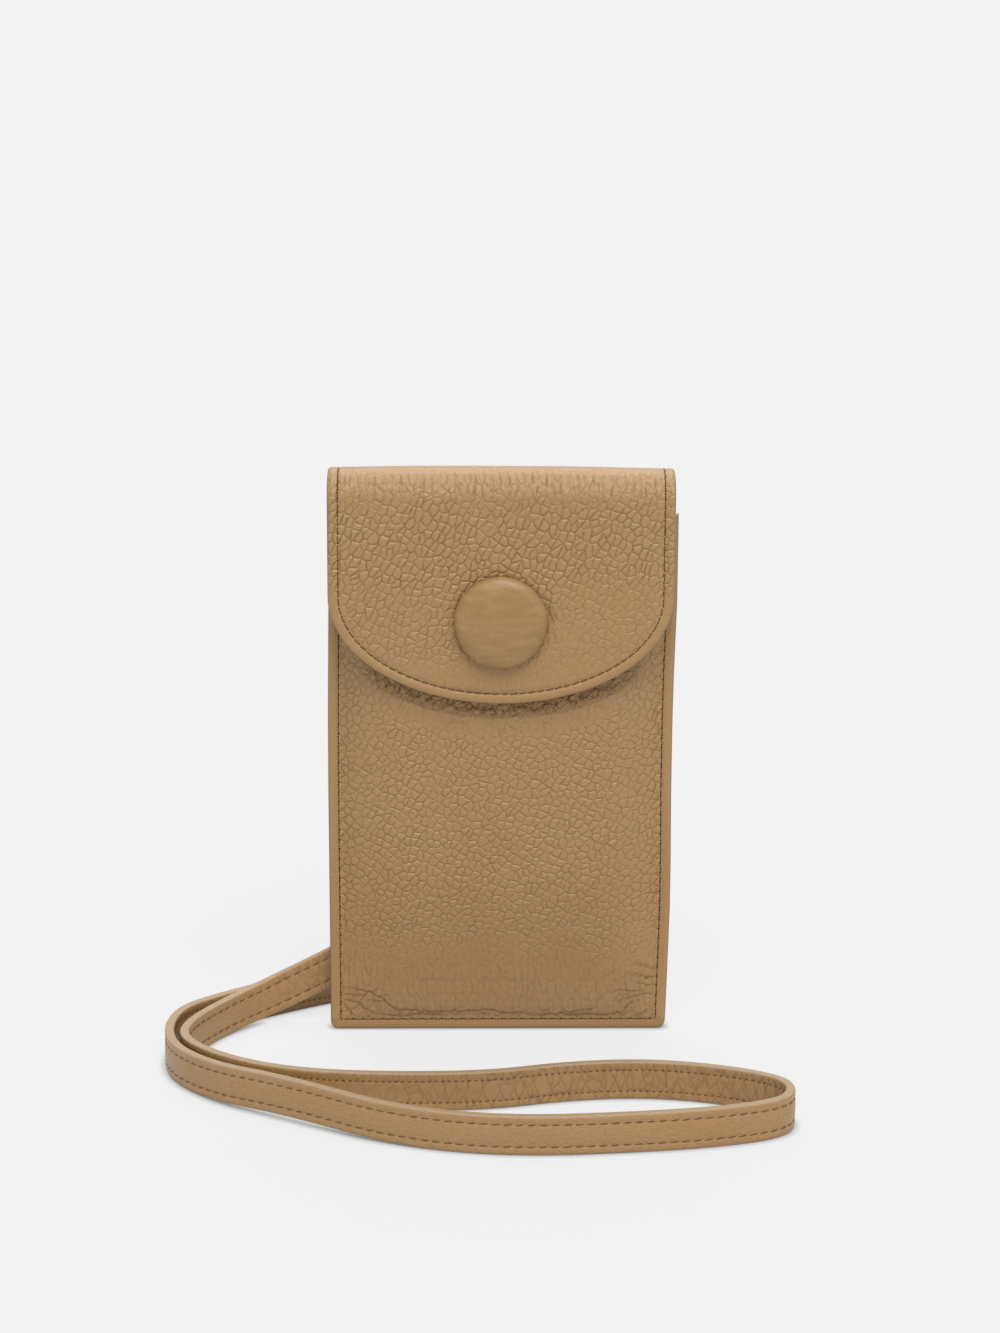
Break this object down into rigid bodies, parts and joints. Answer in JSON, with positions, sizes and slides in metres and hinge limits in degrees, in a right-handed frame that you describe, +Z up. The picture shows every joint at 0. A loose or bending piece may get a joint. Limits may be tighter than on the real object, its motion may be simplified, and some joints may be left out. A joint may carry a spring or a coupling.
{
  "type": "phone pouch",
  "caption": "Upright tan leather phone pouch with a rounded flap over its top, a large covered button that hides a magnetic snap, and a long narrow strap sewn to its back.",
  "frame": {"origin": "middle of the bottom seam, on the surface the pouch stands on", "axes": "+Z up along the pouch, -Y out of the front with the flap and button, +X to the viewer's right from the front"},
  "size_m": [0.1925, 0.1467, 0.1864],
  "materials": {
    "tan_leather": "pebbled grain, semi-matt",
    "lining_fabric": "fine woven lining",
    "stiffener": "plain board",
    "brown_thread": "waxed thread",
    "snap_metal": "plated steel",
    "magnet": "sintered",
    "button_core": "plain"
  },
  "bodies": {
    "pouch": {"front_panel": "tan_leather", "back_panel": "tan_leather", "strap_outer": "tan_leather", "strap_lining": "tan_leather", "front_lining": "lining_fabric", "back_lining": "lining_fabric", "front_board": "stiffener", "back_board": "stiffener", "body_thread": "brown_thread", "strap_thread": "brown_thread", "snap_socket": "snap_metal", "snap_washer": "snap_metal", "snap_magnet": "magnet"},
    "fold": {"fold_outer": "tan_leather", "fold_lining": "lining_fabric", "fold_thread": "brown_thread"},
    "flap": {"flap_outer": "tan_leather", "flap_board": "stiffener", "flap_lining": "lining_fabric", "flap_thread": "brown_thread", "button_cover": "tan_leather", "button_shell": "button_core", "button_plate": "snap_metal", "snap_stud": "snap_metal"}
  },
  "joints": [
    {"name": "flap_fold", "type": "hinge", "parent": "pouch", "child": "fold", "pos_m": [0, 0.00183, 0.17645], "axis": [-1, 0, 0], "range_deg": [0, 90]},
    {"name": "flap_lift", "type": "hinge", "parent": "fold", "child": "flap", "pos_m": [0, -0.01588, 0.17645], "axis": [-1, 0, 0], "range_deg": [0, 90]}
  ]
}
